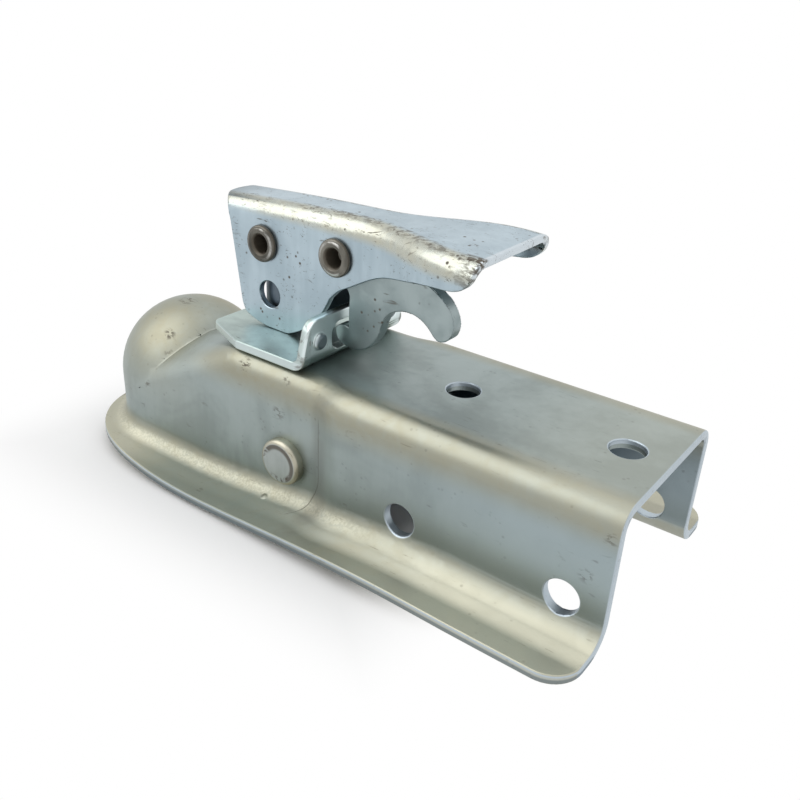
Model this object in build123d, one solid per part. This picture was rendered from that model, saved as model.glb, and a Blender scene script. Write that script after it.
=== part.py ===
"""Straight-tongue trailer coupling head for a 47.6 mm ball and a 50.8 mm drawbar.

Millimetres. The origin is the centre of the ball, +X runs back along the drawbar and +Z is up.
"""

import os
from math import asin, cos, degrees, radians, sin, sqrt, tan

from build123d import *

# Pressed housing: ball dome in front, open channel for the drawbar behind
BALL_D = 47.6
SOCKET_R = BALL_D / 2 + 0.2
SHEET = 3.0
DOME_R = SOCKET_R + SHEET
CHANNEL_HALF = 29.8
ROOF_Z = 29.4
REAR_X = 183.0
STEP_START_X = 80.0
STEP_END_X = 96.0
RAMP_TOP_X = 48.0
RAMP_ANGLE = 15.2
SHOULDER_X = 45.0
SHOULDER_Z = 21.6
SHOULDER_ANGLE = 25.0
SHOULDER_RISE = 13.0
SHOULDER_END_X = 52.0
ROOF_BEND_R = 7.0
RAMP_BEND_R = 14.0
FLANGE_FRONT_Z = -18.5
FLANGE_REAR_Z = -10.2
FLANGE_FALL_START_X = 22.0
FLANGE_FALL_END_X = 136.0
FLANGE_ROOT_R = 6.0
LIP_HALF = 49.0
LIP_CORNER_R = 9.5

# Bolt holes that hold the drawbar
BOLT_HOLE_R = 5.15
BOLT_X = (118.2, 170.4)
SIDE_HOLE_Z = -1.6

# Saddle plate with its keeper wall
PLATE_T = 3.0
PLATE_FRONT_X = 30.5
PLATE_HALF = 24.5
PLATE_NOSE_HALF = 17.4
PLATE_SHOULDER_X = 48.0
KEEPER_FRONT_X = 73.9
KEEPER_REAR_X = KEEPER_FRONT_X + PLATE_T
KEEPER_TOP_Z = 45.6
KEEPER_BEND_R = 2.2
EAR_HALF = 21.4
EAR_DROP = 11.0
WINDOW_HALF = 11.4
WINDOW_TOP_Z = 42.2
PLATE_TOP_Z = ROOF_Z + PLATE_T

# Handle: a channel on a rivet through the eye of the draw bolt
PIVOT_X = 46.8
PIVOT_Z = 60.5
HANDLE_HALF = 10.0
HANDLE_T = 2.5
HANDLE_FRONT_X = 32.2
HANDLE_REAR_X = 130.6
WEB_NOSE = 5.8
WEB_LINE = [(8, 71.4), (37, 73.4), (60, 74.7), (90, 75.7), (118, 76.3), (129, 76.0), (150, 74.2)]
HANDLE_REAR_HALF = 20.5
FLARE_START_X = 83.0
FLARE_END_X = 126.0
HANDLE_BEND_R = 5.6
HANDLE_TRAVEL = 83.0
BOLT_DROP = 5.0
CAM_GAP = 0.06
CAM_R = PIVOT_Z - PLATE_TOP_Z - CAM_GAP
CAM_LEAD = BOLT_DROP / radians(HANDLE_TRAVEL)
HEEL_LEAD = 1.66
HEEL_R = CAM_R + HEEL_LEAD
TRIGGER_X = 76.6
TRIGGER_Z = 62.7
LOCK_HOLE_X = 49.0
LOCK_HOLE_Z = 44.0
LOCK_HOLE_R = 4.5

# Rivets
RIVET_R = 4.0
RIVET_FLANGE_R = 5.9
RIVET_BORE_R = 2.9
RUNNING = 0.06
SNUG = 0.02

# Trigger
TRIGGER_T = 4.2
TRIGGER_NEAR_Y = -HANDLE_HALF + HANDLE_T + 0.2
TRIGGER_FAR_Y = TRIGGER_NEAR_Y + TRIGGER_T
TRIGGER_BOSS_R = 7.0

# Draw bolt and what hangs on it
EYE_R = 9.0
EYE_HALF = HANDLE_HALF - HANDLE_T - 0.2
SHANK_R = 6.35
THREAD_R = 5.9
BOLT_END_Z = -21.2
BUSH_R = 8.3
BUSH_LOW_Z = 18.4

# Ball clamp on its cross pin
PIN_X = 71.0
PIN_Z = -1.3
PIN_R = 4.0
PIN_HEAD_R = 7.8
PIN_HEAD_H = 3.2
PIN_RIM_R = 1.5
ROCKER_R = 6.0
CLAMP_PLATE_HALF_T = 3.0
CLAMP_HALF = 17.0
CLAMP_SWING = degrees(asin(BOLT_DROP / (PIN_X - PIVOT_X)))
BARREL_R = 8.0

DEEP = 46.0


def prism_y(face, half):
    """Extrude a face drawn on XZ to both sides of the middle plane."""
    return extrude(face, amount=half, dir=(0, 1, 0), both=True)


def outline_xz(points):
    """A face on the XZ plane from a closed list of (x, z) corners."""
    return make_face(Polyline([(x, 0, z) for x, z in points], close=True))


def rod_y(x, z, radius, y_low, y_high):
    """A round rod across the part."""
    middle = (y_low + y_high) / 2
    return Pos(x, middle, z) * Rot(90, 0, 0) * Cylinder(radius, y_high - y_low)


def rod_z(x, y, radius, z_low, z_high):
    """An upright round rod."""
    return Pos(x, y, (z_low + z_high) / 2) * Cylinder(radius, z_high - z_low)


def block(x_low, x_high, y_low, y_high, z_low, z_high):
    """A box from its limits."""
    size = (x_high - x_low, y_high - y_low, z_high - z_low)
    return Pos((x_low + x_high) / 2, (y_low + y_high) / 2, (z_low + z_high) / 2) * Box(*size)


def slot_z(x, half_x, half_y, z_low, z_high):
    """An upright slot with rounded corners."""
    corner = min(half_x, half_y) * 0.8
    face = Pos(x, 0, z_low) * RectangleRounded(2 * half_x, 2 * half_y, corner)
    return extrude(face, amount=z_high - z_low, dir=(0, 0, 1))


def channel_plan(inset):
    """Plan of the channel: as wide as the dome in front, a little wider behind the step."""
    front = DOME_R - inset
    rear = CHANNEL_HALF - inset
    end = REAR_X + 8 + inset
    near = Line((0, -front, 0), (STEP_START_X, -front, 0))
    blend = Spline(
        [near @ 1, (STEP_END_X, -rear, 0)],
        tangents=[(1, 0, 0), (1, 0, 0)],
    )
    side = Line(blend @ 1, (end, -rear, 0))
    half = [near, blend, side]
    other = [edge.mirror(Plane.XZ) for edge in half]
    ends = [Line((0, -front, 0), (0, front, 0)), Line((end, -rear, 0), (end, rear, 0))]
    return make_face(half + other + ends)


def roof_profile(inset):
    """Side view under the roof, with the ramp that runs down to the dome."""
    slope = radians(RAMP_ANGLE)
    fall = tan(slope)
    top = ROOF_Z - inset
    bend_x = RAMP_TOP_X + inset * (1 / cos(slope) - 1) / fall
    end = REAR_X + 20
    corners = [(-1, -DEEP - 20), (end, -DEEP - 20), (end, top), (bend_x, top), (-1, top - fall * (bend_x + 1))]
    face = outline_xz(corners)
    corner = face.vertices().sort_by_distance((bend_x, 0, top))[0]
    return fillet(corner, RAMP_BEND_R - inset)


def shoulder(inset):
    """Arch that rounds the ramp's sides down to the walls; it leaves everything behind it alone."""
    slope = radians(SHOULDER_ANGLE)
    start = -10.0
    length = SHOULDER_END_X + 30 - start
    foot = SHOULDER_Z + (start - SHOULDER_X) * tan(slope)
    view = Plane(origin=(start, 0, foot), x_dir=(0, 1, 0), z_dir=(1, 0, 0))
    half = DOME_R - inset
    arch = view * (Ellipse(half, SHOULDER_RISE - inset) + Pos(0, -DEEP) * Rectangle(2 * half, 2 * DEEP))
    ramp_side = extrude(arch, amount=length / cos(slope), dir=(cos(slope), 0, sin(slope)))
    low = -2 * DEEP - 20
    front = ramp_side & block(start, SHOULDER_END_X, -60, 60, low, 80)
    return front + block(SHOULDER_END_X, REAR_X + 40, -60, 60, low, 80)


def channel(inset):
    """The channel as a solid block, bent edges rounded."""
    depth = DEEP + inset
    block_up = extrude(Pos(0, 0, -depth) * channel_plan(inset), amount=depth + 40, dir=(0, 0, 1))
    body = block_up & prism_y(roof_profile(inset), 60)
    bends = [
        edge
        for edge in body.edges()
        if edge.center().Z > 0
        and abs(edge.center().Y) > DOME_R - inset - 1
        and abs((edge % 0.5).Z) < 0.9
        and abs((edge % 0.5).Y) < 0.5
    ]
    return fillet(bends, ROOF_BEND_R - inset) & shoulder(inset)


def dome(inset):
    """The ball dome with its skirt."""
    radius = DOME_R - inset
    return Sphere(radius) + rod_z(0, 0, radius, -DEEP - inset, 0)


def plinth(inset):
    """Everything under the flange: level below the dome, rising to the rear."""
    front = FLANGE_FRONT_Z - inset
    rear = FLANGE_REAR_Z - inset
    end = REAR_X + 8 + inset
    level = Line((-60, 0, front), (FLANGE_FALL_START_X, 0, front))
    rise = Spline(
        [level @ 1, (FLANGE_FALL_END_X, 0, rear)],
        tangents=[(1, 0, 0), (1, 0, 0)],
    )
    back = Line(rise @ 1, (end, 0, rear))
    drop = Polyline((end, 0, rear), (end, 0, -DEEP - inset), (-60, 0, -DEEP - inset), (-60, 0, front))
    return prism_y(make_face([level, rise, back, drop]), 60)


def form(inset):
    """The whole pressing as a solid, all its walls moved inwards by the inset."""
    body = channel(inset) + dome(inset) + plinth(inset)
    roots = []
    for edge in body.edges():
        box = edge.bounding_box()
        inside = abs(box.min.Y) < 34 and abs(box.max.Y) < 34 and box.min.X > -34
        if inside and box.max.Z < -5 and box.min.Z > -26:
            roots.append(edge)
    return fillet(roots, FLANGE_ROOT_R + inset)


def lip_outline():
    """Plan of the flange's trimmed edge."""
    half = [
        (158, -LIP_HALF),
        (115, -LIP_HALF + 1.0),
        (72, -LIP_HALF + 3.4),
        (34, -LIP_HALF + 5.3),
        (10, -LIP_HALF + 8.0),
        (-8, -LIP_HALF + 12.9),
        (-19.5, -29.6),
        (-28.5, -19.4),
    ]
    near = Spline(
        [(x, y, 0) for x, y in half] + [(-32.8, 0, 0)],
        tangents=[(-1, 0, 0), (0, 1, 0)],
    )
    corner_x = REAR_X - LIP_CORNER_R
    side = Line((158, -LIP_HALF, 0), (corner_x, -LIP_HALF, 0))
    bend = CenterArc((corner_x, -LIP_HALF + LIP_CORNER_R, 0), LIP_CORNER_R, 270, 90)
    end = Line((REAR_X, -LIP_HALF + LIP_CORNER_R, 0), (REAR_X, 0, 0))
    half_edges = [near, side, bend, end]
    return make_face(half_edges + [edge.mirror(Plane.XZ) for edge in half_edges])


def make_housing():
    """Pressed steel housing: dome, channel and the flange all round."""
    shell = form(0) - form(SHEET)
    shell = shell & extrude(Pos(0, 0, -60) * lip_outline(), amount=120, dir=(0, 0, 1))
    for x in BOLT_X:
        shell -= rod_z(x, 0, BOLT_HOLE_R, 20, 40)
        shell -= rod_y(x, SIDE_HOLE_Z, BOLT_HOLE_R, -40, 40)
    shell -= rod_y(PIN_X, PIN_Z, PIN_R + SNUG, -40, 40)
    shell -= rod_z(PIVOT_X, 0, BUSH_R + 0.05, 15, 40)
    return shell


def make_saddle_plate():
    """Saddle plate under the handle's cheeks, its rear edge turned up as the keeper wall."""
    outer_r = KEEPER_BEND_R + PLATE_T
    section = outline_xz([
        (PLATE_FRONT_X, ROOF_Z),
        (KEEPER_REAR_X, ROOF_Z),
        (KEEPER_REAR_X, KEEPER_TOP_Z),
        (KEEPER_FRONT_X, KEEPER_TOP_Z),
        (KEEPER_FRONT_X, PLATE_TOP_Z),
        (PLATE_FRONT_X, PLATE_TOP_Z),
    ])
    heel = section.vertices().sort_by_distance((KEEPER_REAR_X, 0, ROOF_Z))[0]
    section = fillet(heel, outer_r)
    inner = section.vertices().sort_by_distance((KEEPER_FRONT_X, 0, PLATE_TOP_Z))[0]
    section = fillet(inner, KEEPER_BEND_R)
    plate = prism_y(section, PLATE_HALF)
    plan = make_face(Polyline([
        (PLATE_FRONT_X, -PLATE_NOSE_HALF, 0),
        (PLATE_SHOULDER_X, -PLATE_HALF, 0),
        (KEEPER_REAR_X + 2, -PLATE_HALF, 0),
        (KEEPER_REAR_X + 2, PLATE_HALF, 0),
        (PLATE_SHOULDER_X, PLATE_HALF, 0),
        (PLATE_FRONT_X, PLATE_NOSE_HALF, 0),
    ], close=True))
    fronts = [v for v in plan.vertices() if v.X < PLATE_SHOULDER_X + 1]
    plan = fillet(fronts, 3.0)
    plate = plate & extrude(Pos(0, 0, 20) * plan, amount=40, dir=(0, 0, 1))
    ear = Pos(0, 0, KEEPER_TOP_Z) * make_face(Polyline([
        (0, -PLATE_HALF, -30),
        (0, -PLATE_HALF, -EAR_DROP),
        (0, -EAR_HALF, 0),
        (0, EAR_HALF, 0),
        (0, PLATE_HALF, -EAR_DROP),
        (0, PLATE_HALF, -30),
    ], close=True))
    ear = fillet([v for v in ear.vertices() if v.Z > KEEPER_TOP_Z - EAR_DROP - 1], 5.0)
    plate = plate & extrude(ear, amount=100, dir=(1, 0, 0))
    window = Plane(origin=(60, 0, 37.6), x_dir=(0, 1, 0), z_dir=(1, 0, 0)) * RectangleRounded(
        2 * WINDOW_HALF, 2 * (WINDOW_TOP_Z - 37.6), 3.6
    )
    plate -= extrude(window, amount=30)
    plate -= rod_z(PIVOT_X, 0, SHANK_R + 0.4, 20, 35)
    for side in (-1, 1):
        bump = Pos(KEEPER_REAR_X, side * 17.4, 38.4) * Rot(0, 90, 0) * Cylinder(2.7, 2.8)
        bump = fillet(bump.edges().filter_by(GeomType.CIRCLE).sort_by(Axis.X)[-1], 1.3)
        plate += bump
    return plate


def handle_plan(inset, past):
    """Plan of the handle, flared at its rear end."""
    front = HANDLE_HALF - inset
    rear = HANDLE_REAR_HALF - inset
    start = Line((20 - past, -front, 0), (FLARE_START_X, -front, 0))
    flare = Spline(
        [start @ 1, (FLARE_END_X, -rear, 0)],
        tangents=[(1, 0, 0), (1, 0, 0)],
    )
    tail = Line(flare @ 1, (136 + past, -rear, 0))
    half = [start, flare, tail]
    other = [edge.mirror(Plane.XZ) for edge in half]
    ends = [
        Line((20 - past, -front, 0), (20 - past, front, 0)),
        Line((136 + past, -rear, 0), (136 + past, rear, 0)),
    ]
    return make_face(half + other + ends)


def handle_block(inset, past):
    """The handle as a solid: its plan under the gently arched web, with bent top edges."""
    upright = extrude(handle_plan(inset, past), amount=100, dir=(0, 0, 1))
    low, high = WEB_LINE[0][0], WEB_LINE[-1][0]
    top = Spline([(x, 0, z - inset) for x, z in WEB_LINE])
    sides = Polyline(top @ 1, (high, 0, 0), (low, 0, 0), top @ 0)
    body = upright & prism_y(make_face([top, sides]), 30)
    bends = [
        edge
        for edge in body.edges()
        if edge.center().Z > 60 and abs((edge % 0.5).X) > 0.6
    ]
    return fillet(bends, HANDLE_BEND_R - inset)


def cheek_profile():
    """Side view of the handle: cam nose, flat foot, heel arc and the raised tail."""
    def cam(turn):
        reach = CAM_R - CAM_LEAD * turn
        return (
            PIVOT_X - reach * sin(turn) + CAM_LEAD * cos(turn),
            0,
            PIVOT_Z - reach * cos(turn) - CAM_LEAD * sin(turn),
        )

    nose = Spline([cam(radians(turn)) for turn in (0, 8, 16, 24)])
    front_low = (35.9, 0, 42.0)
    corner = Spline([nose @ 1, front_low], tangents=[nose % 1, (-0.15, 0, 1)])
    front = Line(corner @ 1, (HANDLE_FRONT_X + 0.1, 0, 65.0))
    crown = Spline([front @ 1, (HANDLE_FRONT_X - 3.4, 0, 69.6)], tangents=[(-0.15, 0, 1), (-1, 0, 0.5)])
    over = Polyline(crown @ 1, (10, 0, 71), (10, 0, 90), (HANDLE_REAR_X + 1.2, 0, 90))
    tail = Spline(
        [over @ 1, (HANDLE_REAR_X, 0, 74.6), (HANDLE_REAR_X - 1.0, 0, 70.8), (HANDLE_REAR_X - 3.6, 0, 68.1),
         (119.2, 0, 66.5), (104.0, 0, 63.5), (94.0, 0, 60.8), (88.0, 0, 58.0), (80.3, 0, 53.8), (76.4, 0, 51.3)],
        tangents=[(-0.05, 0, -1), (-0.75, 0, -0.66)],
    )
    foot_x = PIVOT_X + sqrt(HEEL_R**2 - CAM_R**2)
    foot = (foot_x, 0, PIVOT_Z - CAM_R)
    heel_mid = (PIVOT_X + HEEL_R * cos(radians(42)), 0, PIVOT_Z - HEEL_R * sin(radians(42)))
    heel_top = (PIVOT_X + HEEL_R * cos(radians(23)), 0, PIVOT_Z - HEEL_R * sin(radians(23)))
    hook = Line(tail @ 1, heel_top)
    heel = ThreePointArc(heel_top, heel_mid, foot)
    flat = Line(foot, nose @ 0)
    return make_face([nose, corner, front, crown, over, tail, hook, heel, flat])


def front_plan():
    """Plan that rounds the front end of the web between the cheeks."""
    side = HANDLE_REAR_HALF + 5
    nose = ThreePointArc(
        (HANDLE_FRONT_X, -HANDLE_HALF - 0.1, 0),
        (HANDLE_FRONT_X - WEB_NOSE, 0, 0),
        (HANDLE_FRONT_X, HANDLE_HALF + 0.1, 0),
    )
    past = HANDLE_REAR_X + 20
    corners = [(HANDLE_FRONT_X, side), (past, side), (past, -side), (HANDLE_FRONT_X, -side)]
    rest = Polyline([nose @ 1] + [(x, y, 0) for x, y in corners] + [nose @ 0])
    return make_face([nose, rest])


def make_handle():
    """Handle: one channel-shaped pressing with two cam cheeks."""
    shell = handle_block(0, 0) - handle_block(HANDLE_T, 20)
    shell = shell & prism_y(cheek_profile(), 30)
    shell = shell & extrude(front_plan(), amount=120, dir=(0, 0, 1))
    shell -= rod_y(PIVOT_X, PIVOT_Z, RIVET_R + SNUG, -30, 30)
    shell -= rod_y(TRIGGER_X, TRIGGER_Z, RIVET_R + SNUG, -30, 30)
    shell -= rod_y(LOCK_HOLE_X, LOCK_HOLE_Z, LOCK_HOLE_R, -30, 30)
    return shell


def make_rivet(x, z):
    """Semi-tubular rivet: a flat head behind, a rolled flange and a blind bore in front."""
    face = HANDLE_HALF + 0.03
    head = face + 2.0
    lip = face + 1.7
    section = make_face([
        Line((0, 0, 0), (0, head, 0)),
        Line((0, head, 0), (RIVET_FLANGE_R - 1.2, head, 0)),
        ThreePointArc(
            (RIVET_FLANGE_R - 1.2, head, 0), (RIVET_FLANGE_R - 0.3, head - 0.35, 0), (RIVET_FLANGE_R, head - 1.2, 0)
        ),
        Line((RIVET_FLANGE_R, head - 1.2, 0), (RIVET_FLANGE_R, face, 0)),
        Line((RIVET_FLANGE_R, face, 0), (RIVET_R, face, 0)),
        Line((RIVET_R, face, 0), (RIVET_R, -face, 0)),
        Line((RIVET_R, -face, 0), (RIVET_FLANGE_R - 0.3, -face, 0)),
        ThreePointArc(
            (RIVET_FLANGE_R - 0.3, -face, 0), (RIVET_FLANGE_R, -face - 0.7, 0), (RIVET_FLANGE_R - 0.8, -lip + 0.2, 0)
        ),
        ThreePointArc(
            (RIVET_FLANGE_R - 0.8, -lip + 0.2, 0), (RIVET_BORE_R + 0.9, -lip, 0), (RIVET_BORE_R, -face - 0.4, 0)
        ),
        Line((RIVET_BORE_R, -face - 0.4, 0), (RIVET_BORE_R, -face + 4.5, 0)),
        Line((RIVET_BORE_R, -face + 4.5, 0), (0, -face + 5.9, 0)),
        Line((0, -face + 5.9, 0), (0, 0, 0)),
    ])
    return Pos(x, 0, z) * revolve(section, Axis.Y)


def make_trigger():
    """Latch trigger: hook nose in the keeper's window, finger hook behind."""
    nose_x = KEEPER_REAR_X - 2.3
    edge_x = 79.7
    boss_top = (TRIGGER_X, 0, TRIGGER_Z + TRIGGER_BOSS_R)
    boss_low = (TRIGGER_X - TRIGGER_BOSS_R * 0.9, 0, TRIGGER_Z - TRIGGER_BOSS_R * 0.436)
    boss_mid = (TRIGGER_X - TRIGGER_BOSS_R * 0.866, 0, TRIGGER_Z + TRIGGER_BOSS_R * 0.5)
    hook = Spline([(x, 0, z) for x, z in (
        (nose_x, 38.0), (nose_x + 0.8, 35.8), (79.0, 34.0), (84.2, 34.2), (88.8, 37.2),
        (91.6, 42.0), (93.6, 47.4), (98.6, 50.8), (104.6, 50.9), (109.0, 48.4),
        (112.6, 45.5), (116.4, 47.2), (117.3, 52.6), (113.4, 58.2), (104.0, 63.0), (92.0, 66.3), (84.0, 68.0),
    )] + [boss_top])
    boss = ThreePointArc(boss_top, boss_mid, boss_low)
    neck = Spline([boss_low, (74.4, 0, 55.4), (edge_x - 0.9, 0, 52.6), (edge_x, 0, 49.0)])
    front = Line((edge_x, 0, 49.0), (edge_x, 0, 40.4))
    crest = Spline([
        (edge_x, 0, 40.4), (nose_x + 3.6, 0, 40.9), (nose_x + 1.6, 0, 40.6), (nose_x + 0.3, 0, 39.6), (nose_x, 0, 38.0)
    ])
    middle = (TRIGGER_NEAR_Y + TRIGGER_FAR_Y) / 2
    plate = Pos(0, middle, 0) * prism_y(make_face([hook, boss, neck, front, crest]), TRIGGER_T / 2)
    return plate - rod_y(TRIGGER_X, TRIGGER_Z, RIVET_R + RUNNING, -10, 10)


def make_trigger_spacer():
    """Spacer tube that fills the rivet beside the trigger."""
    low = TRIGGER_FAR_Y + 0.08
    high = HANDLE_HALF - HANDLE_T - 0.05
    tube = rod_y(TRIGGER_X, TRIGGER_Z, 4.9, low, high)
    return tube - rod_y(TRIGGER_X, TRIGGER_Z, RIVET_R + SNUG, low - 1, high + 1)


def make_trigger_spring():
    """Torsion spring round the spacer, one leg beside the trigger and one under the web."""
    wire = 0.6
    radius = 5.7
    pitch = 1.35
    turns = 5
    coil = Helix(pitch, pitch * turns, radius, lefthand=True)
    path = Pos(TRIGGER_X, TRIGGER_FAR_Y + 0.5 + wire, TRIGGER_Z) * Rot(-90, 0, 0) * coil
    down = Line((path @ 0) - (path % 0) * 12, path @ 0)
    up = Line(path @ 1, (path @ 1) + (path % 1) * 7.6)
    route = Wire([down, path, up])
    profile = Plane(origin=route @ 0, z_dir=route % 0) * Circle(wire)
    return sweep(profile, path=route)


def make_draw_bolt():
    """Draw bolt: an eye on the handle's rivet, a round shank and a thread."""
    eye = rod_y(PIVOT_X, PIVOT_Z, EYE_R, -EYE_HALF, EYE_HALF)
    eye = chamfer(eye.edges().filter_by(GeomType.CIRCLE), 1.0)
    bolt = eye + rod_z(PIVOT_X, 0, SHANK_R, 4.0, PIVOT_Z - 4)
    bolt += rod_z(PIVOT_X, 0, THREAD_R, BOLT_END_Z, 5.0)
    ends = [edge for edge in bolt.edges().filter_by(GeomType.CIRCLE) if edge.center().Z < BOLT_END_Z + 0.1]
    bolt = chamfer(ends, 0.9)
    return bolt - rod_y(PIVOT_X, PIVOT_Z, RIVET_R + RUNNING, -20, 20)


def make_spring_seat():
    """Cup that keeps the spring round the bolt and rides on the clamp's rocker."""
    low = PIN_Z + ROCKER_R + 0.05
    cup = rod_z(PIVOT_X, 0, 12.2, low, low + 4.6) - rod_z(PIVOT_X, 0, 10.6, low + 2.2, low + 6)
    return cup - rod_z(PIVOT_X, 0, SHANK_R + RUNNING, low - 1, low + 6)


def make_spring_bush():
    """Top-hat bush that guides the bolt through the roof and holds the spring's upper end."""
    flange = rod_z(PIVOT_X, 0, 10.6, BUSH_LOW_Z, BUSH_LOW_Z + 1.8)
    neck = rod_z(PIVOT_X, 0, BUSH_R, BUSH_LOW_Z, ROOF_Z - 0.03)
    return flange + neck - rod_z(PIVOT_X, 0, SHANK_R + RUNNING, 0, 40)


def make_clamp_spring():
    """Compression spring that pushes the clamp open."""
    wire = 1.2
    low = PIN_Z + ROCKER_R + 0.05 + 2.2 + wire + 0.05
    high = BUSH_LOW_Z - wire - 0.05
    turns = 2.5
    rise = high - low
    coil = Helix(rise / turns, rise, 8.6)
    path = Pos(PIVOT_X, 0, low) * coil
    profile = Plane(origin=path @ 0, z_dir=path % 0) * Circle(wire)
    return sweep(profile, path=path)


def make_washer():
    """Flat washer under the clamp."""
    top = PIN_Z - ROCKER_R - 0.05
    ring = rod_z(PIVOT_X, 0, 11.8, top - 2.4, top)
    return ring - rod_z(PIVOT_X, 0, THREAD_R + 0.4, top - 3, top + 1)


def make_lock_nut():
    """Hexagon lock nut with the collar that holds its insert."""
    top = PIN_Z - ROCKER_R - 0.05 - 2.4 - 0.03
    hexagon = extrude(Pos(PIVOT_X, 0, top) * RegularPolygon(9.2, 6, major_radius=False), amount=-7.6)
    cone = Pos(PIVOT_X, 0, top - 3.8) * Cylinder(10.3, 7.6)
    cone = chamfer(cone.edges().filter_by(GeomType.CIRCLE), 0.9)
    nut = (hexagon & cone) + rod_z(PIVOT_X, 0, 8.4, top - 10.4, top - 7.5)
    nut -= rod_z(PIVOT_X, 0, THREAD_R + SNUG, top - 12, top + 1)
    return nut - rod_z(PIVOT_X, 0, 7.4, top - 10.0, top - 7.8)


def make_nut_insert():
    """Locking ring held in the nut's collar."""
    top = PIN_Z - ROCKER_R - 0.05 - 2.4 - 0.03
    ring = rod_z(PIVOT_X, 0, 7.4 - SNUG, top - 9.9, top - 7.9)
    return ring - rod_z(PIVOT_X, 0, THREAD_R + SNUG, top - 11, top)


def make_clamp():
    """Ball clamp: cupped jaw under the ball, rocker at the bolt and hinge barrel on the pin."""
    plate = block(24, PIN_X - 4, -CLAMP_HALF, CLAMP_HALF, PIN_Z - CLAMP_PLATE_HALF_T, PIN_Z + CLAMP_PLATE_HALF_T)
    jaw = prism_y(outline_xz([
        (10, -21), (19, -21), (27, -13), (33, PIN_Z - CLAMP_PLATE_HALF_T), (33, PIN_Z + CLAMP_PLATE_HALF_T),
        (22, PIN_Z + CLAMP_PLATE_HALF_T), (10, -12),
    ]), CLAMP_HALF + 1)
    rocker = rod_y(PIVOT_X, PIN_Z, ROCKER_R, -CLAMP_HALF, CLAMP_HALF)
    barrel_half = DOME_R - SHEET - 0.5
    barrel = rod_y(PIN_X, PIN_Z, BARREL_R, -barrel_half, barrel_half)
    clamp = plate + jaw + rocker + barrel
    clamp -= Sphere(SOCKET_R + 0.1)
    lean = sin(radians(CLAMP_SWING)) * (ROCKER_R + 0.5)
    clamp -= slot_z(PIVOT_X, SHANK_R + lean + 0.5, SHANK_R + 0.35, PIN_Z - 20, PIN_Z + 20)
    return clamp - rod_y(PIN_X, PIN_Z, PIN_R + RUNNING, -40, 40)


def make_clamp_pin():
    """Cross pin with a mushroom head on each side."""
    pin = rod_y(PIN_X, PIN_Z, PIN_R, -DOME_R - 0.5, DOME_R + 0.5)
    for side in (-1, 1):
        seat = side * (DOME_R + 0.03)
        low, high = sorted((seat, seat + side * PIN_HEAD_H))
        head = rod_y(PIN_X, PIN_Z, PIN_HEAD_R, low, high)
        rim = head.edges().filter_by(GeomType.CIRCLE).sort_by(Axis.Y)[0 if side < 0 else -1]
        pin += fillet(rim, PIN_RIM_R)
    return pin


PIECES = {
    "housing": make_housing,
    "saddle_plate": make_saddle_plate,
    "clamp_pin": make_clamp_pin,
    "ball_clamp": make_clamp,
    "draw_bolt": make_draw_bolt,
    "spring_seat": make_spring_seat,
    "spring_bush": make_spring_bush,
    "clamp_spring": make_clamp_spring,
    "clamp_washer": make_washer,
    "lock_nut": make_lock_nut,
    "nut_insert": make_nut_insert,
    "handle": make_handle,
    "handle_rivet": lambda: make_rivet(PIVOT_X, PIVOT_Z),
    "trigger_rivet": lambda: make_rivet(TRIGGER_X, TRIGGER_Z),
    "trigger": make_trigger,
    "trigger_spring": make_trigger_spring,
    "trigger_spacer": make_trigger_spacer,
}

os.makedirs("parts", exist_ok=True)
for name, make in PIECES.items():
    piece = make()
    solids = piece.solids()
    print(name, len(solids), [round(s.volume, 1) for s in solids], piece.bounding_box())
    export_step(solids[0] if len(solids) == 1 else piece, f"parts/{name}.step")
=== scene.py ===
import math

import bpy
from mathutils import Matrix, Vector


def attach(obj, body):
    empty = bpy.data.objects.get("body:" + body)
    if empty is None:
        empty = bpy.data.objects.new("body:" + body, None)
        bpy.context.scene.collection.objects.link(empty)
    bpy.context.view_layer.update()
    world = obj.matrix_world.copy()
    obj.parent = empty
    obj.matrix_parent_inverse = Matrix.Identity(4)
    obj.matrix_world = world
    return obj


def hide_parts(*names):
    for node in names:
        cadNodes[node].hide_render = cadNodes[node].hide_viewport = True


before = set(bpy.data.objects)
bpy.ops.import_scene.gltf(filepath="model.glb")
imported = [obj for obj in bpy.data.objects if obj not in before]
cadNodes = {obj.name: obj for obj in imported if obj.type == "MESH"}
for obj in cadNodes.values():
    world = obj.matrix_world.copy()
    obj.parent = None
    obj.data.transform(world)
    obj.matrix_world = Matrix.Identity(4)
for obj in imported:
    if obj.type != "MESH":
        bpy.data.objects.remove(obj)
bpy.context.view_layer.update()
print("coupling head loaded:", len(cadNodes), "pieces")

mm = 0.001


# a link between nodes that can be added, multiplied and so on
class Link:
    def __init__(self, tree, made, socket):
        self.tree, self.made, self.socket = tree, made, socket

    def out(self, name):  # another output of the same node
        return Link(self.tree, self.made, self.made.outputs[name])

    def maths(self, operation, first, second):
        return self.tree.node("ShaderNodeMath", {"operation": operation}, {0: first, 1: second})

    def __add__(self, other):
        return self.maths("ADD", self, other)

    def __radd__(self, other):
        return self.maths("ADD", other, self)

    def __sub__(self, other):
        return self.maths("SUBTRACT", self, other)

    def __rsub__(self, other):
        return self.maths("SUBTRACT", other, self)

    def __mul__(self, other):
        return self.maths("MULTIPLY", self, other)

    def __rmul__(self, other):
        return self.maths("MULTIPLY", other, self)

    def __truediv__(self, other):
        return self.maths("DIVIDE", self, other)

    def __pow__(self, other):
        return self.maths("POWER", self, other)

    def __abs__(self):
        return self.maths("ABSOLUTE", self, 0.0)


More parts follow.
